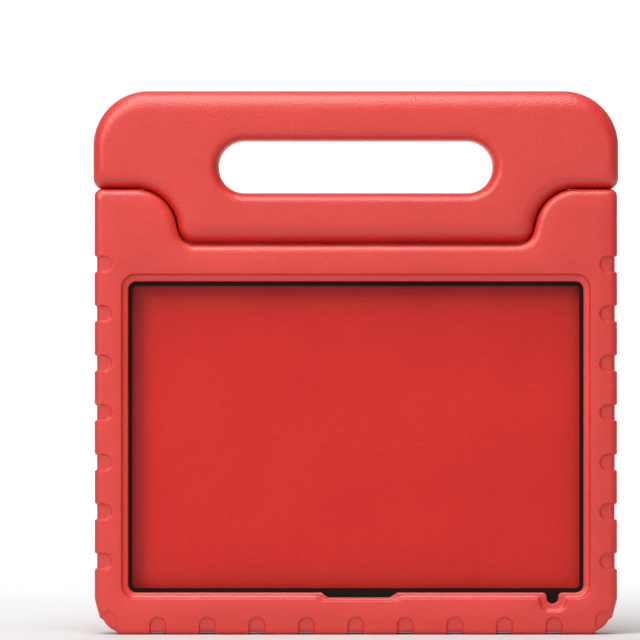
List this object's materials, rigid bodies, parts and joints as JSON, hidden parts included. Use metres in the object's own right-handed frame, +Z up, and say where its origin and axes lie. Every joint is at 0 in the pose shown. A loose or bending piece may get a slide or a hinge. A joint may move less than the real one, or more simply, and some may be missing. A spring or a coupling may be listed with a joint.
{
  "type": "tablet case",
  "caption": "Moulded foam tablet case with a framed window, soft grip grooves round its edge and a carry handle that folds back as a stand.",
  "frame": {"origin": "middle of the bottom edge that the case stands on", "axes": "+Z up towards the handle, +X to the right seen from the front, front face towards -Y"},
  "size_m": [0.2664, 0.028, 0.2758],
  "materials": {
    "case_foam": "matte",
    "handle_foam": "matte",
    "pad_foam": "matte",
    "ring_black": "satin",
    "core_plastic": "matte",
    "bush_plastic": "satin",
    "disc_rubber": "matte",
    "spring_steel": "satin",
    "pin_steel": "satin",
    "plug_plastic": "satin"
  },
  "bodies": {
    "case": {"front_frame": "case_foam", "rear_shell": "case_foam", "bezel_ring": "ring_black", "inner_pad": "pad_foam", "hinge_socket_left": "core_plastic", "hinge_socket_right": "core_plastic", "hinge_bush_left": "bush_plastic", "hinge_bush_right": "bush_plastic", "friction_disc_left": "disc_rubber", "friction_disc_right": "disc_rubber", "wave_washer_left": "spring_steel", "wave_washer_right": "spring_steel", "hinge_plug_left": "plug_plastic", "hinge_plug_right": "plug_plastic"},
    "handle": {"handle_front_shell": "handle_foam", "handle_rear_shell": "handle_foam", "handle_core": "core_plastic", "hinge_pin_left": "pin_steel", "hinge_pin_right": "pin_steel", "pin_nut_left": "pin_steel", "pin_nut_right": "pin_steel", "thrust_washer_left": "bush_plastic", "thrust_washer_right": "bush_plastic"}
  },
  "joints": [
    {"name": "handle_fold", "type": "hinge", "parent": "case", "child": "handle", "pos_m": [0, 0, 0.21185], "axis": [-1, 0, 0], "range_deg": [0, 100]}
  ]
}
